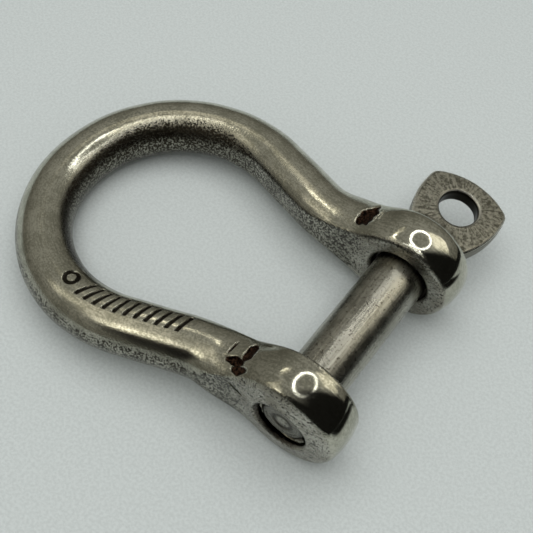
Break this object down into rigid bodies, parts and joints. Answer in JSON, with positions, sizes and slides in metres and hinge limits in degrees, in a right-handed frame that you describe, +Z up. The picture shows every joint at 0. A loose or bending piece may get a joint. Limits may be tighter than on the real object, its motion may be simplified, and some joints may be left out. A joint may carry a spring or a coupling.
{
  "type": "bow shackle",
  "caption": "Forged stainless steel bow shackle with a round crown, barrel shaped lugs and a screw pin with a drilled flat head.",
  "frame": {"origin": "middle of the bounding box, on the surface that the shackle lies on", "axes": "+X from the crown to the pin, +Y along the pin towards its head, +Z up, with the bow lying flat"},
  "size_m": [0.0464, 0.0404, 0.0121],
  "materials": {
    "forged_steel": "tumbled forged stainless steel, tarnished grey brown, smooth on top and finely pitted on its flanks",
    "turned_steel": "turned and polished stainless steel, lightly tarnished, duller on the flat head"
  },
  "bodies": {
    "bow": {"bow_body": "forged_steel"},
    "pin": {"screw_pin": "turned_steel"}
  },
  "joints": [
    {"name": "pin_withdraw", "type": "slide", "parent": "bow", "child": "pin", "axis": [0, 1, 0], "range_m": [0, 0.0205]}
  ]
}
